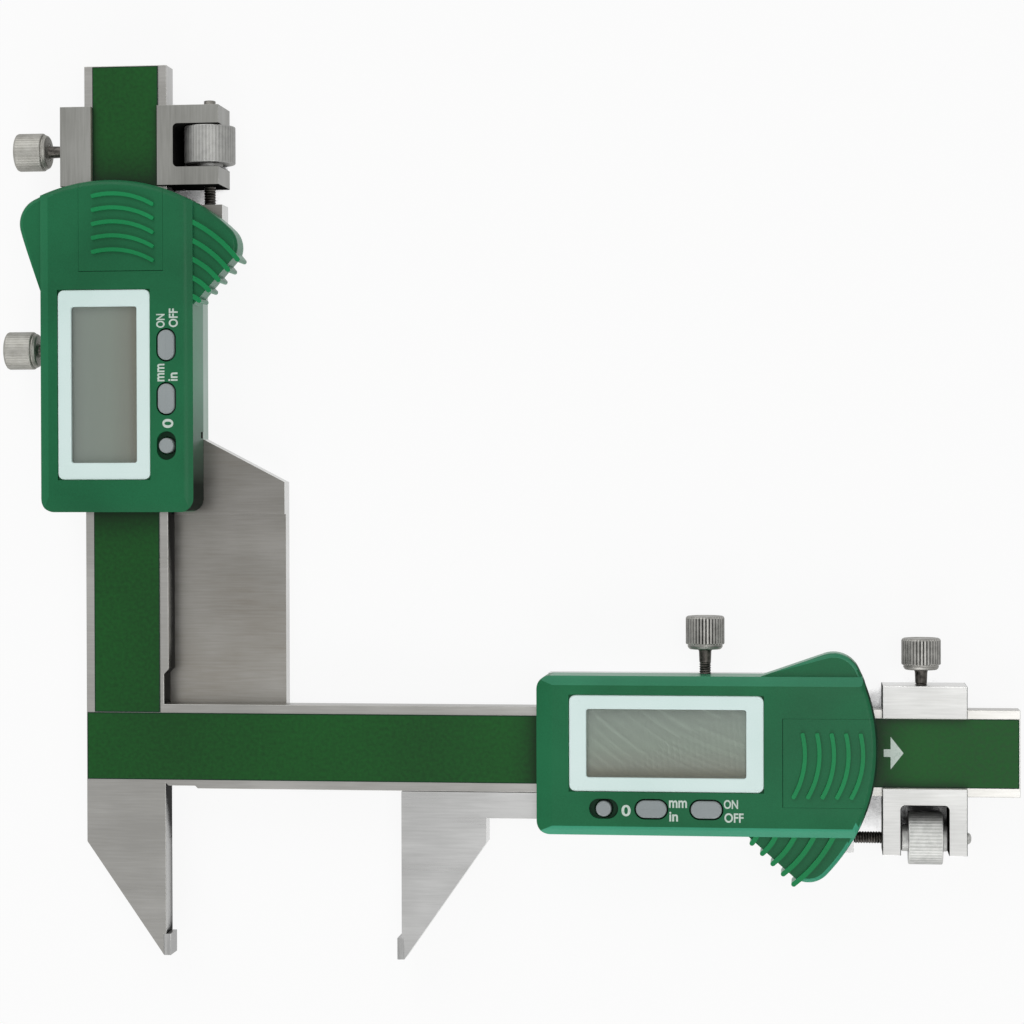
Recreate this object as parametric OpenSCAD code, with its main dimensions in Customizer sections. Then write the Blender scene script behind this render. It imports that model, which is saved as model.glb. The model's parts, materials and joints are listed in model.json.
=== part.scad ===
// Gear tooth caliper: an L-shaped beam with a fixed jaw, a thickness slider with the moving jaw
// on its long arm and a height slider with the tongue on its short arm.
// Each slider has its own display unit, lock screw and fine-feed clamp.

/* [Beam] */
// Length of the horizontal arm from the outer corner
h_arm = 175.2; // [160:0.1:240]
// Length of the vertical arm from the outer corner
v_arm = 137.2; // [134:0.1:180]
// Width of both arms
beam_w = 16; // [15.6:0.1:16.4]
// Thickness of the beam plate
beam_t = 5; // [4.6:0.1:5.4]
// Bare steel margin beside each scale strip
margin = 1.65; // [1.4:0.05:1.9]
// Thickness of the scale strips
strip_t = 0.25; // [0.1:0.05:0.3]

/* [Jaws] */
// Depth of the jaws below the beam
jaw_depth = 31.8; // [25:0.1:40]
// Opening between the jaw tips at rest
opening = 43.6; // [20:0.1:60]
// Height of each carbide tip
tip_h = 4.1; // [3:0.1:6]
// Width of each carbide tip
tip_w = 1.3; // [1:0.1:1.6]
// How far a tip stands proud of its jaw
tip_proud = 0.85; // [0.3:0.05:0.9]
// Height of the straight side of the fixed jaw
jaw_side = 10.3; // [6:0.1:16]
// Width of the moving jaw at its root
moving_jaw_w = 16.1; // [12:0.1:20]
// Height of the arm that carries the moving jaw
jaw_arm_h = 4.85; // [3:0.05:6]

/* [Tongue] */
// Width of the tongue beyond the centre line of the vertical arm
tongue_reach = 29.7; // [26:0.1:34]
// Height of the tongue's end above the lower edge of the beam at rest
tongue_rest = 1; // [0.5:0.1:10]

/* [Sliders] */
// Thickness of the slider and clamp back plates
back_t = 3.2; // [2.8:0.1:3.6]
// Running clearance between a slider and the beam
slip = 0.1; // [0.05:0.01:0.2]
// Place of the thickness slider along the horizontal arm
h_slider_at = 86.7; // [80:0.1:90]
// Place of the height slider along the vertical arm
v_slider_at = 52.5; // [50:0.1:56]
// Sideways shift of the thickness display unit on its slider
h_case_shift = -0.5; // [-0.6:0.1:0]
// Sideways shift of the height display unit on its slider
v_case_shift = 0.7; // [0:0.1:0.8]
// Thickness of the gib strips
gib_t = 1.1; // [0.9:0.1:1.2]

/* [Display unit] */
// Length of the display unit
case_len = 62.6; // [61.8:0.1:64]
// Width of the display unit without its wings
case_w = 29.4; // [29:0.1:30.4]
// Front of the display unit above the rest plane
case_top = 13.5; // [13.3:0.1:14.5]
// Wall of the display unit
case_wall = 1.3; // [1.1:0.1:1.4]
// Width of the pale display bezel
bezel_w = 17.8; // [16.5:0.1:18.4]
// Length and width of the bezel's border
bezel_border = [3.2, 2.6]; // [2:0.1:4]
// Width of the battery cover
cover_w = 16.1; // [15:0.1:17]
// Length and width of the long buttons
button_size = [5.7, 3.2]; // [2.6:0.1:6]
// Radius of the zero button
zero_r = 1.42; // [1.2:0.01:1.6]

/* [Fine feed] */
// Gap between the thickness display unit and its clamp
h_clamp_gap = 0.9; // [0.4:0.1:2]
// Lengths of the thickness and the height clamp along the beam
clamp_len = [15.4, 15.1]; // [14.5:0.1:17]
// Front of the clamps above the rest plane
clamp_top = 9.6; // [9.3:0.1:9.8]
// Radius of the feed rods
rod_r = 1.12; // [0.9:0.01:1.3]
// Radius of the knurled feed wheels
wheel_r = 4.85; // [4.3:0.05:4.9]
// Widths of the thickness and the height feed wheel
wheel_w = [6.3, 7.1]; // [5:0.1:7.4]
// Distances of the thickness and the height feed rod from the centre line of their arm
rod_off = [16, 15.6]; // [15.5:0.1:16.5]

/* [Lock screws] */
// Radius of the knurled lock knobs
knob_r = 3.6; // [3:0.05:3.7]
// Length of the knurled lock knobs
knob_len = 6.3; // [5:0.1:7]
// Radius of the lock screw shanks
shank_r = 1.08; // [0.9:0.01:1.3]

/* [Hidden] */
$fn = 64;

steel = [0.62, 0.61, 0.58];
dark_steel = [0.2, 0.2, 0.21];
carbide = [0.35, 0.35, 0.36];
case_green = [0.13, 0.42, 0.28];
strip_green = [0.1, 0.3, 0.13];
pale = [0.8, 0.89, 0.87];
lcd_grey = [0.5, 0.56, 0.5];
button_grey = [0.6, 0.62, 0.63];

eps = 0.01;
// A revolved outline stands this far clear of the knurl that it trims
clear = 0.1;
half_w = beam_w / 2;
cut = 1;

// Levels above the rest plane
beam_z = back_t + slip;
beam_top = beam_z + beam_t;
strip_top = beam_top + strip_t;
mid_z = beam_z + beam_t / 2;
lip_z = beam_top + slip;
slider_top = lip_z + 0.7;
plate_top = 4.4;
skirt_z = plate_top + 0.1;
rod_z = wheel_r + 0.15;
lug_z = [1.6, 6.6];
wing_z = [lug_z[1] + 0.1, case_top - 1.4];
ceiling = case_top - case_wall;
board_z = slider_top + 0.05;
board_t = 1;
bay_z = board_z + 0.5;
lcd_t = 1.6;
overhang_z = clamp_top + 0.3;

// Jaws
fixed_face = beam_w + 0.2;
jaw_right = fixed_face - tip_proud;
notch = 0.9;
notch_len = 5.7;
root_relief = 0.5;
jaw_bend = 4.6;
tongue_bend = [5.6, 13.9];
tongue_lap = 3;

// Slider section, measured from the centre line of the arm
wall_in = half_w + slip / 2;
gib_out = wall_in + slip / 2 + gib_t + slip / 2;
lip_in = half_w - margin + 0.2;
case_half = case_w / 2;
inner_half = case_half - case_wall;
plate_half = case_half - 0.1;
slider_u = [case_wall + 0.1, case_len - 4.3];
jaw_arm_low = -(half_w + slip + jaw_arm_h);

// Display unit layout along the slider (u) and from its own centre line (v)
edge_r = 33.5;
edge_centre = [case_len - edge_r, 1.5];
edge_round = 1.2;
corner_r = 2.5;
bevel = [1.7, 0.8];
bezel_size = [case_len - 26.8, bezel_w];
view_size = bezel_size - 2 * bezel_border;
display_at = [6.1 + bezel_size[0] / 2, 2.3];
button_row = 4.95 - case_half;
zero_at = [12.5, button_row];
unit_at = [21.3, button_row];
power_at = [31.4, button_row];
zero_recess = [5.4, 3.7];
zero_recess_t = 0.9;
zero_gap = 0.35;
button_gap = 0.3;
collar = 0.75;
side_slot_u = [13.95, 15.15];
side_slot_h = 2;
screw_u = [4.6, case_len - 19.4];
screw_v = (gib_out + inner_half) / 2;
screw_r = 0.8;
boss_r = 1.7;
head_r = 1.5;
head_z = [0.3, 1.5];
driver_slot = [0.4, 0.8];
lock_u = case_len / 2 - 0.4;
cavity_u = [case_wall, screw_u[1] + 0.8];
board_u = [7, cavity_u[1] - 3];
gib_u = [slider_u[0] + 2.6, slider_u[1] - 1.3];
bay_at = [case_len - 9.4, -1];
bay_r = 6.4;
cell_r = bay_r - 0.15;
cell_t = 2;
cover_u = case_len - 17.2;
cover_v = -1.05;
cover_t = 1.5;
flange = [0.7, 0.7];
end_wall_u = [case_len - 3.6, case_len - 2.2];

// Ribs on the battery cover
rib_count = 5;
cover_rib_at = [cover_u + 4, 0.6];
cover_rib_step = 2.63;
cover_rib_r = 15.4;
cover_rib_arc = [-31.4, 14.6];
cover_rib_w = 0.75;
cover_rib_h = 0.45;

// Thumb wing and small wing at the free end of the display unit
wing_u = case_len - 23.6;
thumb_r = 4.6;
thumb_arc = [-112, -43.8];
thumb_at = edge_centre + (edge_r - thumb_r) * [cos(thumb_arc[1]), sin(thumb_arc[1])];
thumb_edge = [case_len - 15, -case_half - 7.6];
crest_r = 5.1;
crest_arc = [26, 108];
crest_at = edge_centre + (edge_r - crest_r) * [cos(crest_arc[0]), sin(crest_arc[0])];
crest_u = case_len - 21.3;
wing_rib_w = 0.9;
wing_rib_h = 0.55;
rib_root = [case_len - 22, 0.3 - case_half];
rib_root_step = [3.5, 0];
rib_tip = [case_len - 22.9, -case_half - 1.2];
rib_tip_step = [1.9, -1.85];

// Fine feed, with unit 0 on the horizontal and unit 1 on the vertical arm
h_clamp_at = case_len + h_clamp_gap;
v_clamp_at = h_clamp_at - 1.7;
lug_u = [slider_u[1] - 6, slider_u[1]];
rod_wall = 2.7;
clamp_high = half_w + 4.4;
window_len = [8.7, 8.1];
wheel_shift = [0.2, 0.3];
hub_slip = 0.1;
window_high = -(half_w + 1.55);
hub_r = 2.45;
rod_end = [0.9, 1.25];
rod_tip = 0.4;
window_r = 0.8;
gib_inset = 0.5;
knob_teeth = 36;
wheel_teeth = 46;
knurl_depth = 0.23;
knob_edge = 0.45;
knob_face = [[shank_r + 0.2, 0], [knob_r - 0.6, 0.35], [knob_r - 0.25, 0.8]];
lock_knob_v = [18.7, 17.6];
clamp_knob_v = [15.1, 15.5];
clamp_knob_len = [5.95, knob_len];
clamp_screw_u = clamp_len / 2 - [0.55, 0.5];

// The origin lies under the middle of the bounding box
x_min = half_w - lock_knob_v[1] - knob_len;
y_min = -jaw_depth;
origin = [(x_min + h_arm) / 2, (y_min + v_arm) / 2];

module shared() {
    translate([-origin[0], -origin[1], 0]) children();
}
module on_h() {
    shared() translate([h_slider_at, half_w, 0]) children();
}
module on_v() {
    shared() translate([half_w, v_slider_at, 0]) rotate([0, 0, 90]) children();
}

function arc(c, r, a0, a1, n) =
    [for (i = [0:n]) let (a = a0 + (a1 - a0) * i / n) c + r * [cos(a), sin(a)]];
function teeth(n, r, depth) =
    [for (i = [0:n - 1], s = [0, 1]) let (a = (i + s / 2 + 0.25) * 360 / n)
        (s == 0 ? r : r - depth) * [cos(a), sin(a)]];

module slab(z0, z1) {
    translate([0, 0, z0]) linear_extrude(z1 - z0) children();
}
// A profile drawn in v and z, run along u
module along_u(u0, u1) {
    translate([u0, 0, 0]) rotate([90, 0, 90]) linear_extrude(u1 - u0) children();
}
// A block between two corners
module block(a, b) {
    translate(a) cube(b - a);
}
module rod_u(u0, u1, r) {
    translate([u0, 0, 0]) rotate([0, 90, 0]) cylinder(h = u1 - u0, r = r);
}
module rod_v(v0, v1, r) {
    translate([0, v0, 0]) rotate([-90, 0, 0]) cylinder(h = v1 - v0, r = r);
}
module stadium(size, grow) {
    r = size[1] / 2 + grow;
    reach = (size[0] - size[1]) / 2;
    for (s = [-1, 1]) translate([s * reach, 0]) circle(r = r);
    square([2 * reach, 2 * r], center = true);
}

// Beam, jaws and scales
module main_beam_shape() {
    polygon([
        [0, v_arm], [0, -jaw_side], [jaw_right + tip_proud - tip_w, -jaw_depth],
        [jaw_right + tip_proud - tip_w, tip_h - jaw_depth], [jaw_right, tip_h - jaw_depth],
        [jaw_right, 2 * root_relief], [jaw_right + root_relief, root_relief],
        [jaw_right + notch_len, root_relief], [jaw_right + notch_len + root_relief, 0],
        [h_arm, 0], [h_arm, beam_w], [beam_w - notch, beam_w],
        [beam_w - notch, beam_w + notch_len], [beam_w, beam_w + notch_len + notch], [beam_w, v_arm]]);
}
module main_beam() {
    color(steel) shared() slab(beam_z, beam_top) main_beam_shape();
}
module tip_block() {
    block([0, 0, beam_z], [tip_w, tip_h, beam_top]);
}
module fixed_jaw_tip() {
    color(carbide) shared() translate([fixed_face - tip_w, -jaw_depth, 0]) tip_block();
}
module moving_jaw_tip() {
    color(carbide) shared() translate([fixed_face + opening, -jaw_depth, 0]) tip_block();
}
module thickness_scale() {
    color(strip_green) shared()
        block([0.2, margin, beam_top], [h_arm - 0.2, beam_w - margin, strip_top]);
}
module height_scale() {
    color(strip_green) shared()
        block([margin, beam_w - margin + 0.1, beam_top], [beam_w - margin, v_arm - 0.2, strip_top]);
}

// Sliders
module slider_section(shift) {
    low = shift - plate_half;
    high = shift + plate_half;
    wall_low = max(jaw_arm_low, shift - inner_half + 0.1);
    wall_high = shift + inner_half - 0.1;
    polygon([
        [low, 0], [high, 0], [high, plate_top], [wall_high, plate_top], [wall_high, slider_top],
        [lip_in, slider_top], [lip_in, lip_z], [gib_out, lip_z], [gib_out, back_t],
        [-wall_in, back_t], [-wall_in, lip_z], [-lip_in, lip_z], [-lip_in, slider_top],
        [wall_low, slider_top], [wall_low, plate_top], [low, plate_top]]);
}
module slider_body(shift, unit) {
    difference() {
        union() {
            along_u(slider_u[0], slider_u[1]) slider_section(shift);
            block([lug_u[0], -rod_off[unit] - rod_wall, lug_z[0]], [lug_u[1], jaw_arm_low + 1, lug_z[1]]);
            children();
        }
        translate([lock_u, 0, mid_z]) rod_v(gib_out - cut, shift + case_half, shank_r + 0.02);
        translate([0, -rod_off[unit], rod_z]) rod_u(lug_u[0] - cut, lug_u[1] + cut, rod_r + 0.01);
        for (u = screw_u, s = [-1, 1]) translate([u, shift + s * screw_v, 0]) {
            translate([0, 0, -cut]) cylinder(h = slider_top + 2 * cut, r = screw_r + 0.05);
            translate([0, 0, -cut]) cylinder(h = head_z[1] + cut, r = head_r + 0.1);
        }
    }
}
module moving_jaw_shape() {
    left = fixed_face + opening + tip_proud - h_slider_at;
    right = left + moving_jaw_w;
    inner = left - tip_proud + tip_w;
    top = -half_w - slip;
    tip = -half_w - jaw_depth;
    polygon([
        [left, top], [left, tip + tip_h], [inner, tip + tip_h], [inner, tip],
        [right, jaw_arm_low - jaw_bend], [right, jaw_arm_low], [slider_u[0] + 1, jaw_arm_low],
        [slider_u[0] + 1, top]]);
}
module thickness_slider() {
    color(steel) on_h() slider_body(h_case_shift, 0) slab(beam_z, beam_top) moving_jaw_shape();
}
module tongue() {
    low_u = tongue_rest - v_slider_at;
    slab(0, back_t) polygon([
        [low_u, -tongue_reach], [cut, -tongue_reach],
        [cut, tongue_lap - half_w], [low_u, tongue_lap - half_w]]);
    slab(0, plate_top) polygon([
        [-0.5, -half_w - 0.3], [-0.5, -tongue_reach], [tongue_bend[0], -tongue_reach],
        [tongue_bend[1], v_case_shift - plate_half + 0.1], [tongue_bend[1], -half_w - 0.3]]);
}
module height_slider() {
    color(steel) on_v() slider_body(v_case_shift, 1) tongue();
}
module gib(u0, u1) {
    block([u0, half_w + slip, beam_z + 0.05], [u1, gib_out - slip / 2, beam_top]);
}
module thickness_gib() {
    color(steel) on_h() gib(gib_u[0], gib_u[1]);
}
module height_gib() {
    color(steel) on_v() gib(gib_u[0], gib_u[1]);
}

// Display units
module case_outline() {
    polygon(concat(
        arc([corner_r, corner_r - case_half], corner_r, 180, 270, 8),
        [[wing_u, -case_half], thumb_edge],
        arc(thumb_at, thumb_r, thumb_arc[0], thumb_arc[1], 16),
        arc(edge_centre, edge_r, thumb_arc[1], crest_arc[0], 28),
        arc(crest_at, crest_r, crest_arc[0], crest_arc[1], 14),
        [[crest_u, case_half]],
        arc([corner_r, case_half - corner_r], corner_r, 90, 180, 8)));
}
// The free end is rounded along its arc
module round_end() {
    translate([edge_centre[0], edge_centre[1], 0]) rotate_extrude() polygon(concat(
        [[0, 0], [edge_r + eps, 0]],
        arc([edge_r + eps - edge_round, case_top - edge_round], edge_round, 0, 90, 4),
        [[0, case_top]]));
}
// Raised face with bevelled long edges and left end
module case_body() {
    z = case_top - bevel[1];
    v = case_half - bevel[0];
    intersection() {
        slab(skirt_z, case_top) case_outline();
        round_end();
        along_u(-cut, case_len + cut) polygon([
            [-case_half, 0], [case_half, 0], [case_half, z], [v, case_top],
            [-v, case_top], [-case_half, z]]);
        translate([0, case_half + cut, 0]) rotate([90, 0, 0]) linear_extrude(case_w + 2 * cut)
            polygon([
                [case_len + cut, 0], [case_len + cut, case_top],
                [bevel[0], case_top], [0, z], [0, 0]]);
    }
}
module wing_rib(start, end) {
    along = end - start;
    len = norm(along);
    r = 2.2 * len;
    sag = asin(len / 2 / r);
    width = wing_rib_w;
    heading = atan2(along[1], along[0]);
    centre = start + along / 2 + r * cos(sag) * [sin(heading), -cos(heading)];
    polygon(concat(
        arc(centre, r + width / 2, heading + 90 + sag, heading + 90 - sag, 8),
        arc(end, width / 2, heading + 60, heading - 60, 4),
        arc(centre, r - width / 2, heading + 90 - sag, heading + 90 + sag, 8)));
}
module wing_ribs() {
    for (i = [0:rib_count - 1])
        slab(wing_z[0], wing_z[1] + wing_rib_h)
            wing_rib(rib_root + i * rib_root_step, rib_tip + i * rib_tip_step);
}
module housing(shift, arm_cut) {
    difference() {
        union() {
            translate([0, shift, 0]) {
                case_body();
                slab(wing_z[0], wing_z[1]) case_outline();
                wing_ribs();
            }
        }
        translate([0, shift, 0]) {
            block([cavity_u[0], -inner_half, 0], [cavity_u[1], inner_half, ceiling]);
            block([cavity_u[1] - cut, -inner_half, 0], [end_wall_u[0], inner_half, board_z]);
            translate([bay_at[0], bay_at[1], bay_z]) cylinder(h = case_top, r = bay_r);
            block([end_wall_u[1], -case_w, 0], [case_len + cut, inner_half + 0.3, overhang_z]);
            translate([0, 0, case_top - cover_t - 0.05])
                slab(0, cover_t + cut) translate([cover_u - 0.1, cover_v - cover_w / 2 - 0.1])
                    square([case_len, cover_w + 0.2]);
            translate([0, 0, case_top - cover_t - 0.05])
                slab(0, flange[1] + 0.1)
                    translate([cover_u - 0.1, cover_v - cover_w / 2 - flange[0] - 0.1])
                        square([case_len, cover_w + 2 * flange[0] + 0.2]);
            translate([display_at[0], display_at[1], 0]) {
                slab(case_top - 0.75, case_top + cut) square(bezel_size + [0.1, 0.1], center = true);
                slab(ceiling - cut, case_top) square(view_size + [0.6, 0.4], center = true);
            }
            translate([zero_at[0], zero_at[1], 0]) {
                slab(ceiling - cut, case_top + cut) circle(r = zero_r + zero_gap);
                slab(case_top - zero_recess_t, case_top + cut) stadium(zero_recess, 0);
            }
            for (p = [unit_at, power_at]) translate([p[0], p[1], 0])
                slab(ceiling - cut, case_top + cut) stadium(button_size, button_gap);
            block([lug_u[0] - 0.4, -case_half - cut, 0], [lug_u[1] + 1, -inner_half + cut, lug_z[1] + 0.1]);
            block([side_slot_u[0], -case_half - cut, 0],
                [side_slot_u[1], -inner_half + cut, skirt_z + side_slot_h]);
            translate([lock_u, 0, mid_z]) rod_v(inner_half - cut, case_half + cut, shank_r + 0.15);
        }
        block([-cut, -half_w - 0.3 - arm_cut, 0], [case_wall + cut, half_w + 0.3, strip_top + 0.35]);
        block([slider_u[1], -half_w - 0.3, 0], [case_len + cut, half_w + 0.3, strip_top + 0.35]);
    }
    for (u = screw_u, s = [-1, 1]) translate([u, shift + s * screw_v, 0]) difference() {
        slab(board_z, ceiling + 0.05) circle(r = boss_r);
        slab(0, ceiling - 0.6) circle(r = screw_r + 0.02);
    }
}
module bezel(shift) {
    translate([display_at[0], shift + display_at[1], 0]) slab(case_top - 0.75, case_top - 0.15)
        difference() {
            square(bezel_size, center = true);
            square(view_size, center = true);
        }
}
module lens(shift) {
    translate([display_at[0], shift + display_at[1], 0]) slab(ceiling, case_top - 0.75)
        square(view_size + [0.5, 0.3], center = true);
}
module lcd(shift) {
    translate([display_at[0], shift + display_at[1], 0]) slab(ceiling - lcd_t, ceiling)
        square(view_size + [3.2, 3], center = true);
}
module contact_strips(shift) {
    low = board_z + board_t;
    for (s = [-1, 1])
        translate([display_at[0], shift + display_at[1] + s * (view_size[1] / 2 + 0.5), 0])
            slab(low, ceiling - lcd_t) square([view_size[0], 1.4], center = true);
}
module board(shift) {
    half = inner_half - 0.4;
    block([board_u[0], shift - half, board_z], [board_u[1], shift + half, board_z + board_t]);
    block([board_u[0] + 1, 0.2 - lip_in, strip_top + 0.15], [board_u[1] - 1, lip_in - 0.2, board_z + eps]);
}
module cell(shift) {
    translate([bay_at[0], shift + bay_at[1], bay_z]) cylinder(h = cell_t, r = cell_r);
}
module cover_rib() {
    centre = [-cover_rib_r, 0];
    slab(case_top - eps, case_top + cover_rib_h) polygon(concat(
        arc(centre, cover_rib_r + cover_rib_w / 2, cover_rib_arc[1], cover_rib_arc[0], 12),
        arc(centre, cover_rib_r - cover_rib_w / 2, cover_rib_arc[0], cover_rib_arc[1], 12)));
}
module cell_cover(shift) {
    translate([0, shift, 0]) {
        intersection() {
            slab(case_top - cover_t, case_top) case_outline();
            round_end();
            union() {
                block([cover_u, cover_v - cover_w / 2, case_top - cover_t],
                    [case_len + cut, cover_v + cover_w / 2, case_top]);
                block([cover_u, cover_v - cover_w / 2 - flange[0], case_top - cover_t],
                    [case_len + cut, cover_v + cover_w / 2 + flange[0], case_top - cover_t + flange[1]]);
            }
        }
        for (i = [0:rib_count - 1])
            translate([cover_rib_at[0] + i * cover_rib_step, cover_rib_at[1], 0]) cover_rib();
    }
}
module button(at, shift, round) {
    translate([at[0], shift + at[1], 0]) {
        slab(board_z + board_t + 0.6, case_top + 0.1)
            if (round) circle(r = zero_r); else stadium(button_size, 0);
        slab(board_z + board_t + 0.8, ceiling - 0.1)
            if (round) circle(r = zero_r + collar); else stadium(button_size, collar);
    }
}
module case_screws(shift) {
    for (u = screw_u, s = [-1, 1]) translate([u, shift + s * screw_v, 0]) difference() {
        union() {
            slab(head_z[0], head_z[1]) circle(r = head_r);
            slab(head_z[0] + 0.1, ceiling - 1) circle(r = screw_r);
        }
        block([-driver_slot[0] / 2, -head_r - cut, 0], [driver_slot[0] / 2, head_r + cut, driver_slot[1]]);
    }
}

// Lock screw that runs out along v from the gib
module lock_screw(knob_at, length) {
    translate([0, gib_out, mid_z]) rotate([-90, 0, 0]) {
        reach = knob_at - gib_out;
        cylinder(h = reach + 1, r = shank_r);
        translate([0, 0, reach]) intersection() {
            linear_extrude(length) polygon(teeth(knob_teeth, knob_r, knurl_depth));
            rotate_extrude() polygon(concat([[0, 0]], knob_face, [
                [knob_r + clear, 1.15], [knob_r + clear, length - knob_edge],
                [knob_r - knob_edge, length], [0, length]]));
        }
    }
}
module feed_rod(clamp_at, unit) {
    end = clamp_at + clamp_len[unit] + rod_end[unit] - rod_tip;
    translate([0, -rod_off[unit], rod_z]) {
        rod_u(lug_u[0] + 0.3, end, rod_r);
        translate([end, 0, 0]) rotate([0, 90, 0])
            rotate_extrude() polygon([[0, 0], [rod_r, 0], [rod_r - rod_tip, rod_tip], [0, rod_tip]]);
    }
}
module clamp(at, unit) {
    clamp_low = -rod_off[unit] - rod_wall;
    difference() {
        along_u(at, at + clamp_len[unit]) polygon([
            [clamp_low, 0], [clamp_high, 0], [clamp_high, clamp_top], [lip_in, clamp_top],
            [lip_in, lip_z], [gib_out, lip_z], [gib_out, back_t], [-wall_in, back_t],
            [-wall_in, lip_z], [-lip_in, lip_z], [-lip_in, clamp_top], [clamp_low, clamp_top]]);
        window(at + clamp_len[unit] / 2, window_len[unit] / 2, clamp_low);
        translate([0, -rod_off[unit], rod_z]) rod_u(at - cut, at + clamp_len[unit] + cut, rod_r + 0.05);
        translate([at + clamp_screw_u[unit], 0, mid_z])
            rod_v(gib_out - cut, clamp_high + cut, shank_r + 0.02);
    }
}
module window(middle, reach, low) {
    r = window_r;
    left = middle - reach;
    right = middle + reach;
    slab(-cut, clamp_top + cut) polygon(concat(
        [[left, low - cut], [right, low - cut]],
        arc([right - r, window_high - r], r, 0, 90, 6), arc([left + r, window_high - r], r, 90, 180, 6)));
}
module feed_wheel(at, unit) {
    middle = at + clamp_len[unit] / 2;
    hub = window_len[unit] - 2 * hub_slip;
    half = wheel_w[unit] / 2;
    translate([middle, -rod_off[unit], rod_z]) rotate([0, 90, 0]) difference() {
        union() {
            cylinder(h = hub, r = hub_r, center = true);
            translate([0, 0, wheel_shift[unit]]) intersection() {
                linear_extrude(2 * half, center = true) polygon(teeth(wheel_teeth, wheel_r, knurl_depth));
                rotate_extrude() polygon([
                    [0, -half], [wheel_r - knob_edge, -half],
                    [wheel_r + clear, knob_edge - half], [wheel_r + clear, half - knob_edge],
                    [wheel_r - knob_edge, half], [0, half]]);
            }
        }
        cylinder(h = hub + 2, r = rod_r + 0.03, center = true);
    }
}

// Thickness unit
module thickness_housing() {
    color(case_green) on_h() housing(h_case_shift, jaw_arm_h);
}
module thickness_bezel() {
    color(pale) on_h() bezel(h_case_shift);
}
module thickness_lens() {
    color(pale, 0.4) on_h() lens(h_case_shift);
}
module thickness_lcd() {
    color(lcd_grey) on_h() lcd(h_case_shift);
}
module thickness_contact_strips() {
    color(dark_steel) on_h() contact_strips(h_case_shift);
}
module thickness_board() {
    color("darkgreen") on_h() board(h_case_shift);
}
module thickness_cell() {
    color("silver") on_h() cell(h_case_shift);
}
module thickness_cell_cover() {
    color(case_green) on_h() cell_cover(h_case_shift);
}
module thickness_zero_button() {
    color(button_grey) on_h() button(zero_at, h_case_shift, true);
}
module thickness_unit_button() {
    color(button_grey) on_h() button(unit_at, h_case_shift, false);
}
module thickness_power_button() {
    color(button_grey) on_h() button(power_at, h_case_shift, false);
}
module thickness_case_screws() {
    color(dark_steel) on_h() case_screws(h_case_shift);
}
module thickness_lock_screw() {
    color(dark_steel) on_h() translate([lock_u, 0, 0]) lock_screw(lock_knob_v[0], knob_len);
}
module thickness_feed_rod() {
    color(dark_steel) on_h() feed_rod(h_clamp_at, 0);
}
module thickness_clamp() {
    color(steel) on_h() clamp(h_clamp_at, 0);
}
module thickness_clamp_gib() {
    color(steel) on_h() gib(h_clamp_at + gib_inset, h_clamp_at + clamp_len[0] - gib_inset);
}
module thickness_feed_wheel() {
    color(steel) on_h() feed_wheel(h_clamp_at, 0);
}
module thickness_clamp_screw() {
    color(dark_steel) on_h() translate([h_clamp_at + clamp_screw_u[0], 0, 0])
        lock_screw(clamp_knob_v[0], clamp_knob_len[0]);
}

// Height unit
module height_housing() {
    color(case_green) on_v() housing(v_case_shift, 0);
}
module height_bezel() {
    color(pale) on_v() bezel(v_case_shift);
}
module height_lens() {
    color(pale, 0.4) on_v() lens(v_case_shift);
}
module height_lcd() {
    color(lcd_grey) on_v() lcd(v_case_shift);
}
module height_contact_strips() {
    color(dark_steel) on_v() contact_strips(v_case_shift);
}
module height_board() {
    color("darkgreen") on_v() board(v_case_shift);
}
module height_cell() {
    color("silver") on_v() cell(v_case_shift);
}
module height_cell_cover() {
    color(case_green) on_v() cell_cover(v_case_shift);
}
module height_zero_button() {
    color(button_grey) on_v() button(zero_at, v_case_shift, true);
}
module height_unit_button() {
    color(button_grey) on_v() button(unit_at, v_case_shift, false);
}
module height_power_button() {
    color(button_grey) on_v() button(power_at, v_case_shift, false);
}
module height_case_screws() {
    color(dark_steel) on_v() case_screws(v_case_shift);
}
module height_lock_screw() {
    color(dark_steel) on_v() translate([lock_u, 0, 0]) lock_screw(lock_knob_v[1], knob_len);
}
module height_feed_rod() {
    color(dark_steel) on_v() feed_rod(v_clamp_at, 1);
}
module height_clamp() {
    color(steel) on_v() clamp(v_clamp_at, 1);
}
module height_clamp_gib() {
    color(steel) on_v() gib(v_clamp_at + gib_inset, v_clamp_at + clamp_len[1] - gib_inset);
}
module height_feed_wheel() {
    color(steel) on_v() feed_wheel(v_clamp_at, 1);
}
module height_clamp_screw() {
    color(dark_steel) on_v() translate([v_clamp_at + clamp_screw_u[1], 0, 0])
        lock_screw(clamp_knob_v[1], clamp_knob_len[1]);
}

main_beam();
fixed_jaw_tip();
thickness_scale();
height_scale();
thickness_slider();
moving_jaw_tip();
thickness_gib();
thickness_housing();
thickness_bezel();
thickness_lens();
thickness_lcd();
thickness_contact_strips();
thickness_board();
thickness_cell();
thickness_cell_cover();
thickness_zero_button();
thickness_unit_button();
thickness_power_button();
thickness_case_screws();
thickness_lock_screw();
thickness_feed_rod();
thickness_clamp();
thickness_clamp_gib();
thickness_feed_wheel();
thickness_clamp_screw();
height_slider();
height_gib();
height_housing();
height_bezel();
height_lens();
height_lcd();
height_contact_strips();
height_board();
height_cell();
height_cell_cover();
height_zero_button();
height_unit_button();
height_power_button();
height_case_screws();
height_lock_screw();
height_feed_rod();
height_clamp();
height_clamp_gib();
height_feed_wheel();
height_clamp_screw();
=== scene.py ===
import json
from math import atan2, pi, radians

import bmesh
import bpy
from mathutils import Matrix, Vector


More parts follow.
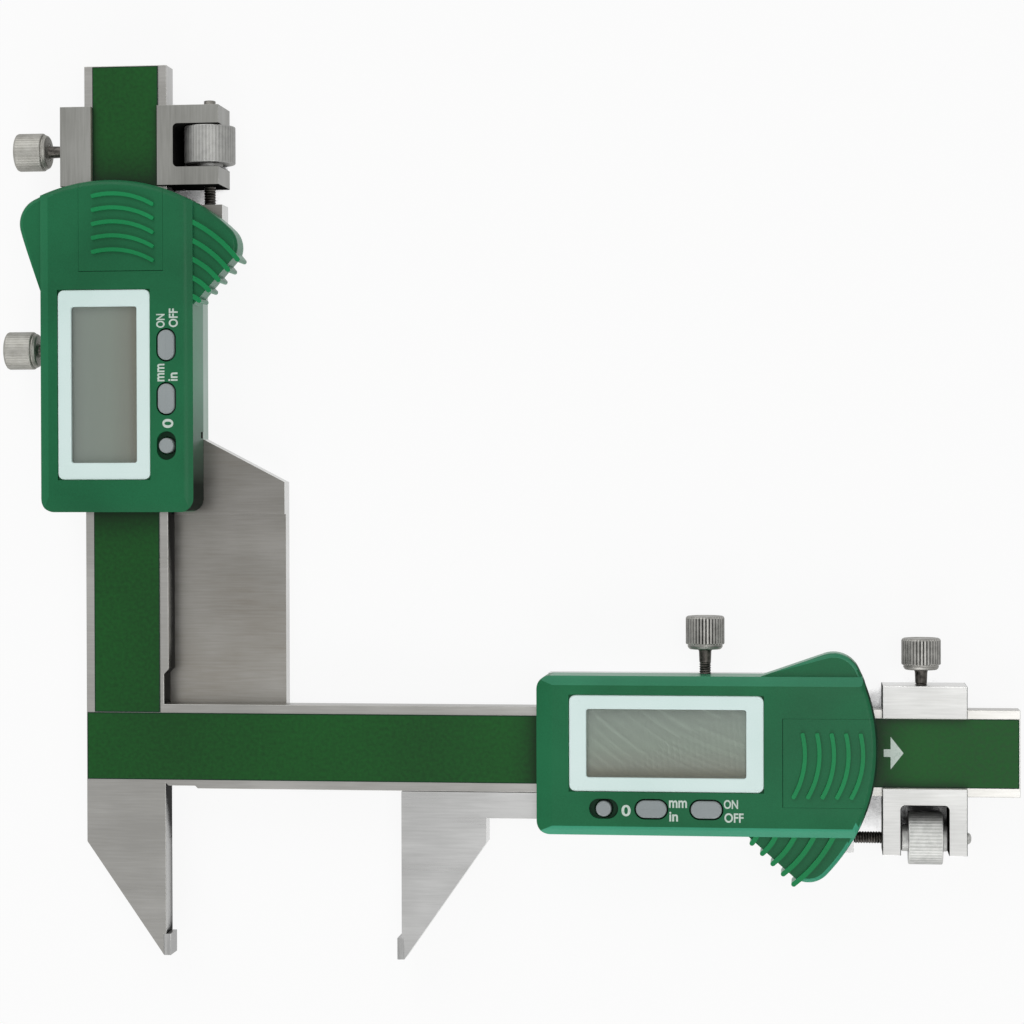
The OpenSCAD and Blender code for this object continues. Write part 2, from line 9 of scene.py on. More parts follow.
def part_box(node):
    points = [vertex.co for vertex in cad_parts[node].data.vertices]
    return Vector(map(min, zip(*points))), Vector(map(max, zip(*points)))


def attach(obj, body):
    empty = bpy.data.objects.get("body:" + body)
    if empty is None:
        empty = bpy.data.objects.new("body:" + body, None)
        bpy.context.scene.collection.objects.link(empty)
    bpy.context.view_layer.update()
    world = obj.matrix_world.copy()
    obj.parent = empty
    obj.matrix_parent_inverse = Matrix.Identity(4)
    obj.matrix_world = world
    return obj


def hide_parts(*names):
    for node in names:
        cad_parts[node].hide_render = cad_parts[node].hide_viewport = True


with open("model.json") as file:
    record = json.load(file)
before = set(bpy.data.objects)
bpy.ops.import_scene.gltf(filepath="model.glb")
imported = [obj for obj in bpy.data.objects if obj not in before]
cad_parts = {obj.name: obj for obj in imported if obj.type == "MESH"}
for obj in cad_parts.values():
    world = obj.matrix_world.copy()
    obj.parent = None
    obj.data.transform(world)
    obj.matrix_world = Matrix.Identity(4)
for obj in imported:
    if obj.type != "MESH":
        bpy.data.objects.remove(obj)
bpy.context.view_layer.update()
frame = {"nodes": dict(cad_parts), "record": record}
scene = bpy.context.scene
scene.view_settings.view_transform = "Standard"
print("frame loaded")

mm = 0.001
units = ("thickness", "height")
# Each unit is shaped as if its arm ran along X, then turned into its own place
turns = {"thickness": Matrix.Identity(4), "height": Matrix.Rotation(radians(90), 4, "Z")}


view = {
    "place": (59.23, 4.68, 491.01), "turn": (-0.605, 6.750, -0.144),
    "lens": 91.48, "sensor": 36, "near": 0.02, "far": 20,
}


def addCamera():
    data = bpy.data.cameras.new("camera")
    data.sensor_width = view["sensor"]
    data.lens = view["lens"]
    data.clip_start = view["near"]
    data.clip_end = view["far"]
    camera = bpy.data.objects.new("camera", data)
    camera.location = Vector(view["place"]) * mm
    camera.rotation_euler = [radians(angle) for angle in view["turn"]]
    scene.collection.objects.link(camera)
    scene.camera = camera


# strength 1 on what the camera sees is white
studio = {
    "floorSize": 3.0,
    "floorDrop": 0.02,
    "floorRoughness": 0.9,
    "floorColour": (0.82, 0.82, 0.82, 1),
    "floorWhite": 0.9,
    "skyColour": (1, 1, 1, 1),
    "skyStrength": 0.35,
    "shadowReach": 7.5,
    "gapDark": 0.185,
    "gapClear": 0.235,
    "lamps": [
        {"name": "keyLamp", "place": (-0.5, 1.1, 0.8), "size": 1.1, "power": 6.5},
        {"name": "rightLamp", "place": (0.28, 0.0, 0.95), "size": 0.5, "power": 1.8},
        {"name": "frontLamp", "place": (-0.1, -1.0, 0.6), "size": 0.9, "power": 5.0},
    ],
}


# Joins two values, or scales one by a fixed number
def joined(tree, operation, first, second=None, number=0.0):
    node = tree.nodes.new("ShaderNodeMath")
    node.operation = operation
    tree.links.new(first, node.inputs[0])
    if second is None:
        node.inputs[1].default_value = number
    else:
        tree.links.new(second, node.inputs[1])
    return node.outputs[0]


# One for rays that the camera sees, straight or in a reflection
def seenWhite(tree):
    path = tree.nodes.new("ShaderNodeLightPath")
    total = path.outputs["Is Camera Ray"]
    for ray in ("Is Glossy Ray", "Is Transmission Ray"):
        total = joined(tree, "MAXIMUM", total, path.outputs[ray])
    return total


def addSky():
    world = bpy.data.worlds.new("sky")
    scene.world = world
    world.use_nodes = True
    tree = world.node_tree
    soft = tree.nodes["Background"]
    soft.inputs["Color"].default_value = studio["skyColour"]
    soft.inputs["Strength"].default_value = studio["skyStrength"]
    white = tree.nodes.new("ShaderNodeBackground")
    mixed = tree.nodes.new("ShaderNodeMixShader")
    tree.links.new(seenWhite(tree), mixed.inputs["Fac"])
    tree.links.new(soft.outputs[0], mixed.inputs[1])
    tree.links.new(white.outputs[0], mixed.inputs[2])
    white.inputs["Color"].default_value = (1, 1, 1, 1)
    tree.links.new(mixed.outputs[0], tree.nodes["World Output"].inputs["Surface"])


def addFloor():
    bm = bmesh.new()
    bmesh.ops.create_grid(bm, x_segments=1, y_segments=1, size=studio["floorSize"] / 2)
    bmesh.ops.translate(bm, verts=bm.verts, vec=(0, 0, -studio["floorDrop"] * mm))
    mesh = bpy.data.meshes.new("floor")
    bm.to_mesh(mesh)
    bm.free()
    material = bpy.data.materials.new("floor")
    material.use_nodes = True
    tree = material.node_tree
    paper = tree.nodes["Principled BSDF"]
    paper.inputs["Base Color"].default_value = studio["floorColour"]
    paper.inputs["Roughness"].default_value = studio["floorRoughness"]
    glow = tree.nodes.new("ShaderNodeEmission")
    gaps = tree.nodes.new("ShaderNodeAmbientOcclusion")  # narrow gaps keep their shadow
    gaps.inputs["Distance"].default_value = studio["shadowReach"] * mm
    deep = tree.nodes.new("ShaderNodeMapRange")
    deep.inputs["From Min"].default_value = studio["gapDark"]
    deep.inputs["From Max"].default_value = studio["gapClear"]
    tree.links.new(gaps.outputs["AO"], deep.inputs["Value"])
    tree.links.new(deep.outputs["Result"], glow.inputs["Strength"])
    share = joined(tree, "MULTIPLY", seenWhite(tree), number=studio["floorWhite"])
    mixed = tree.nodes.new("ShaderNodeMixShader")
    tree.links.new(share, mixed.inputs["Fac"])
    tree.links.new(paper.outputs[0], mixed.inputs[1])
    tree.links.new(glow.outputs[0], mixed.inputs[2])
    tree.links.new(mixed.outputs[0], tree.nodes["Material Output"].inputs["Surface"])
    mesh.materials.append(material)
    floor = bpy.data.objects.new("floor", mesh)
    scene.collection.objects.link(floor)


def addLamps():
    for lamp in studio["lamps"]:
        data = bpy.data.lights.new(lamp["name"], "AREA")
        data.shape = "DISK"
        data.size = lamp["size"]
        data.energy = lamp["power"]
        holder = bpy.data.objects.new(lamp["name"], data)
        holder.location = lamp["place"]
        holder.rotation_euler = (-Vector(lamp["place"])).to_track_quat("-Z", "Y").to_euler()
        scene.collection.objects.link(holder)


addCamera()
addSky()
addFloor()
addLamps()
print("camera, floor and lamps placed")


def startMaterial(name, roughness, metallic=0.0, gloss=0.2):
    material = bpy.data.materials.new(name)
    material.use_nodes = True
    shader = material.node_tree.nodes["Principled BSDF"]
    shader.inputs["Specular IOR Level"].default_value = 0.5 if metallic else gloss
    shader.inputs["Roughness"].default_value = roughness
    shader.inputs["Metallic"].default_value = metallic
    return material, material.node_tree, shader


# cells: how many cells of the pattern fit in a metre along X, Y and Z
def noise(tree, cells, detail=2.0):
    coords = tree.nodes.new("ShaderNodeTexCoord")
    mapping = tree.nodes.new("ShaderNodeMapping")
    mapping.inputs["Scale"].default_value = cells
    pattern = tree.nodes.new("ShaderNodeTexNoise")
    pattern.inputs["Scale"].default_value = 1
    pattern.inputs["Detail"].default_value = detail
    tree.links.new(coords.outputs["Object"], mapping.inputs["Vector"])
    tree.links.new(mapping.outputs["Vector"], pattern.inputs["Vector"])
    return pattern.outputs["Fac"]


def blend(tree, first, second, share=0.5):
    mixed = tree.nodes.new("ShaderNodeMix")
    mixed.inputs["Factor"].default_value = share
    tree.links.new(first, mixed.inputs["A"])
    tree.links.new(second, mixed.inputs["B"])
    return mixed.outputs["Result"]


def colours(tree, value, stops):
    ramp = tree.nodes.new("ShaderNodeValToRGB")
    ramp.color_ramp.elements.remove(ramp.color_ramp.elements[1])
    for number, (place, colour) in enumerate(stops):
        if number:
            stop = ramp.color_ramp.elements.new(place)
        else:
            stop = ramp.color_ramp.elements[0]
            stop.position = place
        stop.color = (*colour, 1)
    tree.links.new(value, ramp.inputs["Fac"])
    return ramp.outputs["Color"]


def ranged(tree, value, start, end, first, last):
    span = tree.nodes.new("ShaderNodeMapRange")
    for socket, number in (("From Min", start), ("From Max", end), ("To Min", first), ("To Max", last)):
        span.inputs[socket].default_value = number
    tree.links.new(value, span.inputs["Value"])
    return span.outputs["Result"]


# A noise lies mostly between 0.3 and 0.7
def spread(tree, value, low, high):
    return ranged(tree, value, 0.3, 0.7, low, high)


def addBump(tree, shader, value, depth, strength=1.0):
    bump = tree.nodes.new("ShaderNodeBump")
    bump.inputs["Strength"].default_value = strength
    bump.inputs["Distance"].default_value = depth * mm
    tree.links.new(value, bump.inputs["Height"])
    tree.links.new(bump.outputs["Normal"], shader.inputs["Normal"])


# Scales a colour by a gain
def scaled(tree, base, gain):
    product = tree.nodes.new("ShaderNodeVectorMath")
    product.operation = "SCALE"
    tree.links.new(base, product.inputs[0])
    tree.links.new(gain, product.inputs["Scale"])
    return product.outputs["Vector"]


# paintedLight: light and shade painted as a gradient, given by an axis, two places along it in mm, and the
# gain at each
def paintedLightGain(tree, paintedLight):
    axis, start, end, first, last = paintedLight
    coords = tree.nodes.new("ShaderNodeTexCoord")
    split = tree.nodes.new("ShaderNodeSeparateXYZ")
    tree.links.new(coords.outputs["Object"], split.inputs["Vector"])
    return ranged(tree, split.outputs[axis], start * mm, end * mm, first, last)


# Painted shade: falls from one to the darkest gain where taller neighbours stand close
def paintedShadeGain(tree, reach, crowded, clear, darkest):
    gaps = tree.nodes.new("ShaderNodeAmbientOcclusion")
    gaps.inputs["Distance"].default_value = reach * mm
    return ranged(tree, gaps.outputs["AO"], crowded, clear, darkest, 1)


# Dims a gloss socket by the gain of painted light and shade
def fadeGloss(tree, shader, gain, socket, full):
    tree.links.new(joined(tree, "MULTIPLY", gain, number=full), shader.inputs[socket])


# Links a colour, and a roughness that follows a pattern
def coat(tree, shader, base, pattern, low, high):
    tree.links.new(base, shader.inputs["Base Color"])
    tree.links.new(spread(tree, pattern, low, high), shader.inputs["Roughness"])


# Ground steel: fine lines along the grind, and slow stains under them
def groundSteel(name, grain, dark, light, stain, roughness, paintedLight=None, paintedGapShade=None):
    material, tree, shader = startMaterial(name, 0.35, 1.0)
    fine = {"x": (150, 2800, 2800), "y": (2800, 150, 2800)}[grain]
    wide = {"x": (30, 260, 260), "y": (260, 30, 260)}[grain]
    lines = noise(tree, fine, 3)
    bands = noise(tree, wide, 3)
    patches = noise(tree, (55, 55, 55), 4)
    tone = blend(tree, blend(tree, lines, bands, 0.3), patches, 0.55)
    base = colours(tree, tone, [(0.36, dark), (0.5, stain), (0.62, light)])
    # Painted light and shade: the steel lightens or darkens along an axis
    if paintedLight:
        base = scaled(tree, base, paintedLightGain(tree, paintedLight))
    # Painted shade: the steel goes dark and loses its gloss beside close neighbours, only below 6 mm along Y
    if paintedGapShade:
        gain = joined(tree, "MAXIMUM", paintedShadeGain(tree, *paintedGapShade), paintedLightGain(tree, ("Y", 0, 6, 0, 1)))
        base = scaled(tree, base, gain)
        fadeGloss(tree, shader, gain, "Metallic", 1)
        fadeGloss(tree, shader, gain, "Specular IOR Level", 0.5)
    coat(tree, shader, base, bands, *roughness)
    addBump(tree, shader, lines, 0.001, 0.3)
    return material


def darkSteel():
    material, tree, shader = startMaterial("blackened_steel", 0.4, 1.0)
    patches = noise(tree, (900, 900, 900), 4)
    base = colours(tree, patches, [(0.35, (0.035, 0.033, 0.03)), (0.65, (0.12, 0.11, 0.1))])
    coat(tree, shader, base, patches, 0.3, 0.5)
    return material


# A wall that lies in shade and reflects nothing
def dullWall(name, dark, light):
    material, tree, shader = startMaterial(name, 0.8, 0.0, 0.0)
    patches = noise(tree, (400, 400, 400), 3)
    coat(tree, shader, colours(tree, patches, [(0.35, dark), (0.65, light)]), patches, 0.7, 0.9)
    return material


def turnedSteel(name, dark, light, roughness, metallic=1.0):
    material, tree, shader = startMaterial(name, 0.35, metallic)
    patches = noise(tree, (700, 700, 700), 4)
    specks = noise(tree, (5000, 5000, 5000), 2)
    tone = blend(tree, patches, specks, 0.4)
    base = colours(tree, tone, [(0.38, dark), (0.62, light)])
    coat(tree, shader, base, tone, *roughness)
    addBump(tree, shader, specks, 0.003, 0.5)
    return material


# Moulded plastic: an even colour, a fine spark-eroded grain and a faint flow pattern
def mouldedPlastic(name, dark, light, roughness, grain=0.01, paintedLight=None):
    material, tree, shader = startMaterial(name, 0.4, 0.0, 0.16)
    flow = noise(tree, (60, 60, 60), 3)
    pits = noise(tree, (4200, 4200, 4200), 2)
    tone = blend(tree, flow, pits, 0.35)
    base = colours(tree, tone, [(0.35, dark), (0.65, light)])
    # Painted light and shade along an axis, in the colour and the gloss
    if paintedLight:
        gain = paintedLightGain(tree, paintedLight)
        base = scaled(tree, base, gain)
        fadeGloss(tree, shader, gain, "Specular IOR Level", 0.2)
    coat(tree, shader, base, flow, *roughness)
    addBump(tree, shader, pits, grain, 0.6)
    return material


def printedStrip():
    material, tree, shader = startMaterial("printed_strip", 0.4)
    mottle = noise(tree, (1400, 1400, 1400), 3)
    slow = noise(tree, (22, 22, 22), 2)
    base = colours(tree, blend(tree, slow, mottle, 0.4), [
        (0.36, (0.0032, 0.051, 0.007)), (0.62, (0.0056, 0.089, 0.0125))])
    # Painted shade: the strip darkens beside taller neighbours
    coat(tree, shader, scaled(tree, base, paintedShadeGain(tree, 8, 0.5, 0.95, 0.25)), mottle, 0.36, 0.48)
    addBump(tree, shader, mottle, 0.004, 0.5)
    return material


# The display is painted darker towards its lower edge and a little towards its upper edge: painted shade
# from the bezel's rim
def displayGlass(name, gain):
    material, tree, shader = startMaterial(name, 0.22)
    uv = tree.nodes.new("ShaderNodeUVMap")
    split = tree.nodes.new("ShaderNodeSeparateXYZ")
    tree.links.new(uv.outputs["UV"], split.inputs["Vector"])
    stops = [(0.06, (0.155, 0.15, 0.095)), (0.17, (0.215, 0.235, 0.18)),
             (0.45, (0.243, 0.295, 0.235)), (0.8, (0.236, 0.288, 0.238)), (1.0, (0.2, 0.238, 0.2))]
    stops = [(place, [gain * part for part in tone]) for place, tone in stops]
    base = colours(tree, split.outputs["Y"], stops)
    film = noise(tree, (2600, 2600, 2600), 2)
    toned = tree.nodes.new("ShaderNodeMix")
    toned.data_type = "RGBA"
    toned.blend_type = "MULTIPLY"
    toned.inputs[0].default_value = 0.3
    tree.links.new(base, toned.inputs[6])
    tree.links.new(colours(tree, film, [(0.3, (0.8, 0.8, 0.8)), (0.7, (1, 1, 1))]), toned.inputs[7])
    coat(tree, shader, toned.outputs[2], film, 0.2, 0.26)
    return material


def clearWindow():
    material, tree, shader = startMaterial("clear_window", 0.06)
    shader.inputs["Base Color"].default_value = (0.9, 0.95, 0.93, 1)
    haze = noise(tree, (300, 300, 300), 3)
    tree.links.new(spread(tree, haze, 0.2, 0.22), shader.inputs["Roughness"])
    shader.inputs["Alpha"].default_value = 0.12
    return material


# White ink, a little thinner in places
def labelInk():
    material, tree, shader = startMaterial("label_ink", 0.5)
    cover = noise(tree, (2500, 2500, 2500), 3)
    base = colours(tree, cover, [(0.3, (0.48, 0.58, 0.52)), (0.5, (0.6, 0.69, 0.63))])
    coat(tree, shader, base, cover, 0.42, 0.55)
    return material


# Solder mask over copper tracks
def boardLaminate():
    material, tree, shader = startMaterial("board_laminate", 0.4)
    coords = tree.nodes.new("ShaderNodeTexCoord")
    tracks = tree.nodes.new("ShaderNodeTexBrick")
    tracks.inputs["Scale"].default_value = 700
    tracks.inputs["Mortar Size"].default_value = 0.035
    tracks.inputs["Color1"].default_value = (0.016, 0.11, 0.045, 1)
    tracks.inputs["Color2"].default_value = (0.02, 0.13, 0.055, 1)
    tracks.inputs["Mortar"].default_value = (0.05, 0.24, 0.1, 1)
    tree.links.new(coords.outputs["Object"], tracks.inputs["Vector"])
    tree.links.new(tracks.outputs["Color"], shader.inputs["Base Color"])
    tree.links.new(spread(tree, noise(tree, (500, 500, 500)), 0.3, 0.45), shader.inputs["Roughness"])
    addBump(tree, shader, tracks.outputs["Fac"], 0.02, 0.4)
    return material


# Contact rubber: thin dark and pale layers side by side
def contactRubber():
    material, tree, shader = startMaterial("contact_rubber", 0.7)
    coords = tree.nodes.new("ShaderNodeTexCoord")
    layers = tree.nodes.new("ShaderNodeTexWave")
    layers.inputs["Scale"].default_value = 900
    layers.inputs["Distortion"].default_value = 0.4
    tree.links.new(coords.outputs["Object"], layers.inputs["Vector"])
    base = colours(tree, layers.outputs["Fac"], [(0.4, (0.02, 0.02, 0.022)), (0.6, (0.3, 0.27, 0.25))])
    tree.links.new(base, shader.inputs["Base Color"])
    tree.links.new(spread(tree, noise(tree, (900, 900, 900)), 0.6, 0.8), shader.inputs["Roughness"])
    return material


# Painted light: the beam's steel lightens towards the far end of the long arm
beamSteel = groundSteel("beam_steel", "x", (0.285, 0.28, 0.265), (0.36, 0.355, 0.34),
                        (0.32, 0.315, 0.3), (0.26, 0.34), paintedLight=("X", 0, 90, 0.95, 1.22))
# Painted shade: the flank steel goes almost black and loses its gloss beside the tongue
flankSteel = groundSteel("flank_steel", "y", (0.36, 0.36, 0.35), (0.46, 0.46, 0.45),
                         (0.4, 0.4, 0.39), (0.26, 0.34), paintedGapShade=(12, 0.72, 0.78, 0.01))
# X copies dress the thickness unit and Y copies the height unit; where a pair differs in tone, the
# difference is painted light, the thickness unit's mostly lighter
steelX = groundSteel("slider_steel_x", "x", (0.36, 0.36, 0.355), (0.46, 0.46, 0.455),
                     (0.41, 0.41, 0.405), (0.26, 0.34))
# Painted light and shade: the height slider's steel lightens towards the tongue's lower end and darkens
# above
steelY = groundSteel("slider_steel_y", "x", (0.178, 0.167, 0.148), (0.232, 0.225, 0.21),
                     (0.205, 0.198, 0.182), (0.28, 0.38), paintedLight=("Y", -30, 5, 1.27, 0.9))
# Painted reflection: walls and slanted faces take a lighter steel
wallX = groundSteel("wall_steel_x", "x", (0.55, 0.55, 0.54), (0.7, 0.7, 0.69),
                    (0.62, 0.62, 0.61), (0.24, 0.34))
wallY = groundSteel("wall_steel_y", "y", (0.5, 0.5, 0.49), (0.64, 0.64, 0.63),
                    (0.57, 0.57, 0.56), (0.24, 0.34))
wallShade = groundSteel("wall_steel_shaded", "y", (0.23, 0.31, 0.27), (0.3, 0.39, 0.35),
                        (0.26, 0.35, 0.3), (0.3, 0.4))
clampX = groundSteel("clamp_steel_x", "x", (0.325, 0.325, 0.316), (0.425, 0.425, 0.415),
                     (0.378, 0.378, 0.37), (0.3, 0.4))
clampY = groundSteel("clamp_steel_y", "y", (0.185, 0.185, 0.172), (0.26, 0.26, 0.245),
                     (0.225, 0.225, 0.21), (0.3, 0.4))
clampWallY = groundSteel("clamp_wall_y", "y", (0.19, 0.19, 0.175), (0.27, 0.27, 0.255),
                         (0.23, 0.23, 0.215), (0.3, 0.4))
windowWall = dullWall("window_wall", (0.008, 0.008, 0.008), (0.016, 0.016, 0.015))
clampShade = dullWall("clamp_shade", (0.1, 0.105, 0.1), (0.16, 0.165, 0.155))
lipX = dullWall("lip_steel_x", (0.4, 0.41, 0.37), (0.5, 0.51, 0.46))
lipY = dullWall("lip_steel_y", (0.26, 0.255, 0.2), (0.34, 0.335, 0.27))
carbide = groundSteel("carbide", "y", (0.24, 0.24, 0.24), (0.42, 0.42, 0.41),
                      (0.33, 0.33, 0.325), (0.3, 0.4))
knobX = turnedSteel("knob_steel_x", (0.25, 0.245, 0.23), (0.37, 0.365, 0.345), (0.42, 0.52))
knobY = turnedSteel("knob_steel_y", (0.27, 0.265, 0.24), (0.36, 0.355, 0.33), (0.46, 0.58))
wheelX = turnedSteel("wheel_steel_x", (0.46, 0.465, 0.45), (0.6, 0.605, 0.585), (0.45, 0.55), 0.6)
wheelY = turnedSteel("wheel_steel_y", (0.3, 0.3, 0.29), (0.38, 0.38, 0.365), (0.45, 0.55), 0.8)
# Painted shade: the knurls' grooves take a darker steel
grooveX = turnedSteel("groove_steel_x", (0.07, 0.07, 0.066), (0.15, 0.148, 0.14), (0.45, 0.55))
grooveY = turnedSteel("groove_steel_y", (0.255, 0.25, 0.23), (0.345, 0.34, 0.315), (0.5, 0.6))
wheelGrooveX = turnedSteel("wheel_groove_x", (0.36, 0.365, 0.35), (0.48, 0.485, 0.465), (0.45, 0.55), 0.6)
wheelGrooveY = turnedSteel("wheel_groove_y", (0.235, 0.235, 0.225), (0.315, 0.315, 0.3), (0.45, 0.55), 0.8)
stubX = turnedSteel("rod_end_x", (0.3, 0.3, 0.29), (0.48, 0.48, 0.46), (0.3, 0.4))
stubY = turnedSteel("rod_end_y", (0.16, 0.155, 0.14), (0.26, 0.25, 0.23), (0.35, 0.45))
rodSteel = darkSteel()
casePlastic = mouldedPlastic("case_plastic", (0.009, 0.11, 0.043), (0.014, 0.152, 0.061), (0.3, 0.42))
# Painted light: lighter copies of the case plastic for bevels and walls
caseEdge = mouldedPlastic("case_edge", (0.034, 0.2, 0.105), (0.043, 0.25, 0.132), (0.28, 0.36))
caseSoft = mouldedPlastic("case_soft", (0.013, 0.14, 0.058), (0.019, 0.185, 0.077), (0.28, 0.36))
caseGlow = mouldedPlastic("case_glow", (0.04, 0.29, 0.165), (0.052, 0.36, 0.21), (0.28, 0.36))
# Painted shade: the outer wall darkens towards the tongue
caseWall = mouldedPlastic("case_wall", (0.02, 0.18, 0.09), (0.028, 0.23, 0.115), (0.28, 0.36),
                          paintedLight=("Y", 5, 24, 0.04, 1))
# Painted light: the ribs take a lighter green
caseRib = mouldedPlastic("case_rib", (0.007, 0.2, 0.062), (0.012, 0.265, 0.088), (0.28, 0.36))
# Painted shade in the zero button's pocket and at the thickness case's free end; this near-black green also
# draws the dark line round each strip
casePocket = mouldedPlastic("case_pocket", (0.002, 0.022, 0.009), (0.004, 0.034, 0.014), (0.5, 0.6))
palePlastic = mouldedPlastic("pale_plastic", (0.715, 0.885, 0.85), (0.785, 0.935, 0.91), (0.26, 0.36), 0.003)
buttonPlastic = mouldedPlastic("button_plastic", (0.28, 0.315, 0.32), (0.34, 0.375, 0.38), (0.4, 0.5), 0.006)
stripFilm = printedStrip()
# Painted light: the thickness display is brighter than the height display
displayX = displayGlass("display_glass_x", 1.68)
displayY = displayGlass("display_glass_y", 0.87)
windowClear = clearWindow()
ink = labelInk()
laminate = boardLaminate()
rubber = contactRubber()
cellSteel = turnedSteel("cell_steel", (0.28, 0.28, 0.28), (0.38, 0.38, 0.385), (0.34, 0.44))
print("materials made")

# Each piece's material on the thickness and the height unit; where a pair differs in tone, the difference is
# painted light
finishesAndLight = {
    "slider": (steelX, steelY), "gib": (steelX, steelY), "clamp_gib": (steelX, steelY),
    "clamp": (clampX, clampY), "housing": (casePlastic, casePlastic),
    "cell_cover": (casePlastic, casePlastic), "bezel": (palePlastic, palePlastic),
    "lens": (windowClear, windowClear), "lcd": (displayX, displayY),
    "contact_strips": (rubber, rubber), "board": (laminate, laminate),
    "cell": (cellSteel, cellSteel), "case_screws": (rodSteel, rodSteel),
    "zero_button": (buttonPlastic, buttonPlastic), "unit_button": (buttonPlastic, buttonPlastic),
    "power_button": (buttonPlastic, buttonPlastic), "lock_screw": (knobX, knobY),
    "clamp_screw": (knobX, knobY), "feed_rod": (rodSteel, rodSteel),
    "feed_wheel": (wheelX, wheelY), "scale": (stripFilm, stripFilm),
}


def finishAndLightOf(node):
    if node == "main_beam":
        return beamSteel
    if node.endswith("jaw_tip"):
        return carbide
    unit, piece = node.split("_", 1)
    return finishesAndLight[piece][units.index(unit)]


for nodeName, nodeObject in frame["nodes"].items():
    nodeObject.data.materials.clear()
    nodeObject.data.materials.append(finishAndLightOf(nodeName))

bodyOf = {}
for bodyName, members in frame["record"]["behaviour"]["bodies"].items():
    for member in members:
        bodyOf[member] = bodyName


def turnOf(node):
    return turns["height" if node.startswith("height") else "thickness"]


# A node's box in millimetres, in its unit's own unturned directions
def unitBox(node):
    back = turnOf(node).inverted()
    ends = [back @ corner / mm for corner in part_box(node)]
    return Vector(map(min, *ends)), Vector(map(max, *ends))


def middleOf(node):
    low, high = unitBox(node)
    return (low + high) / 2


# Turns a millimetre bmesh into a piece that stands for a node, or rides with one
def finishPiece(name, bm, node, *materials, stands=True, smooth=35):
    for face in bm.faces:
        face.smooth = True
    for edge in bm.edges:
        edge.smooth = edge.calc_face_angle(pi) < radians(smooth)
    bm.transform(turnOf(node) @ Matrix.Scale(mm, 4))
    mesh = bpy.data.meshes.new(name)
    bm.to_mesh(mesh)
    bm.free()
    for material in materials:
        mesh.materials.append(material)
    piece = bpy.data.objects.new(name, mesh)
    scene.collection.objects.link(piece)
    flat = piece.modifiers.new("flatFaces", "WEIGHTED_NORMAL")  # wide faces stay flat beside soft edges
    flat.keep_sharp = True
    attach(piece, bodyOf[node])
    if stands:
        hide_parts(node)
    return piece


def spinProfile(points, segments, closed=False):
    bm = bmesh.new()
    verts = [bm.verts.new((radius, 0, height)) for radius, height in points]
    pairs = list(zip(verts, verts[1:])) + ([(verts[-1], verts[0])] if closed else [])
    edges = [bm.edges.new(pair) for pair in pairs]
    bmesh.ops.spin(bm, geom=verts + edges, cent=(0, 0, 0), axis=(0, 0, 1), dvec=(0, 0, 0),
                   angle=2 * pi, steps=segments, use_merge=True)
    bmesh.ops.remove_doubles(bm, verts=bm.verts, dist=0.001)
    bmesh.ops.recalc_face_normals(bm, faces=bm.faces)
    return bm


# Adds a second bmesh to the first and frees it
def joinMesh(bm, other):
    mesh = bpy.data.meshes.new("joined")
    other.to_mesh(mesh)
    other.free()
    bm.from_mesh(mesh)
    bpy.data.meshes.remove(mesh)


def placeOver(bm, low, high):
    bmesh.ops.translate(bm, verts=bm.verts, vec=((low.x + high.x) / 2, (low.y + high.y) / 2, 0))


# Pulls every fourth column of the rim inwards, which leaves lands and grooves; the grooves take the second
# material, a darker steel as painted shade
def cutKnurl(bm, rim, depth, teeth):
    grooves = set()
    for vert in bm.verts:
        column = round(2 * atan2(vert.co.y, vert.co.x) / pi * teeth)
        if vert.co.xy.length > rim and column % 4 == 2:
            vert.co.xy *= 1 - depth / vert.co.xy.length
            grooves.add(vert)
    for face in bm.faces:
        if len(grooves.intersection(face.verts)) > 1:
            face.material_index = 1


# One thread turn is a ridge that climbs as it spins
def threadedRod(radius, length, pitch, depth):
    around = 24
    bm = bmesh.new()
    ridge = [(radius - depth, -pitch), (radius, -0.58 * pitch), (radius, -0.42 * pitch), (radius - depth, 0)]
    verts = [bm.verts.new((reach, 0, height)) for reach, height in ridge]
    edges = [bm.edges.new(pair) for pair in zip(verts, verts[1:])]
    count = int(length / pitch) + 2
    bmesh.ops.spin(bm, geom=verts + edges, cent=(0, 0, 0), axis=(0, 0, 1),
                   dvec=(0, 0, pitch / around), angle=2 * pi * count, steps=around * count)
    bmesh.ops.remove_doubles(bm, verts=bm.verts, dist=0.005)
    for height, side in ((0, -1), (length, 1)):
        cut = bmesh.ops.bisect_plane(bm, geom=bm.verts[:] + bm.edges[:] + bm.faces[:],
                                     plane_co=(0, 0, height), plane_no=(0, 0, side), clear_outer=True)
        rim = [item for item in cut["geom_cut"] if isinstance(item, bmesh.types.BMEdge)]
        bmesh.ops.edgeloop_fill(bm, edges=rim)
    bmesh.ops.recalc_face_normals(bm, faces=bm.faces)
    return bm


def addRoundedFace(bm, size, corner):
    corners = bmesh.ops.create_grid(bm, x_segments=1, y_segments=1, size=0.5)["verts"]
    bmesh.ops.scale(bm, verts=corners, vec=(size[0], size[1], 1))
    bmesh.ops.bevel(bm, geom=corners, offset=corner, affect="VERTICES", segments=8,
                    profile=0.5, material=-1)


# A flat frame between two round-cornered outlines
def flatFrame(size, corner, innerSize, innerCorner):
    bm = bmesh.new()
    addRoundedFace(bm, size, corner)
    addRoundedFace(bm, innerSize, innerCorner)
    bmesh.ops.delete(bm, geom=bm.faces[:], context="FACES_ONLY")
    bmesh.ops.bridge_loops(bm, edges=bm.edges[:])
    return bm


# Gives flat faces a small thickness
def raiseFaces(bm, faces, height):
    grown = bmesh.ops.extrude_face_region(bm, geom=faces)["geom"]
    topVerts = [item for item in grown if isinstance(item, bmesh.types.BMVert)]
    bmesh.ops.translate(bm, verts=topVerts, vec=(0, 0, height))
    bmesh.ops.recalc_face_normals(bm, faces=bm.faces)


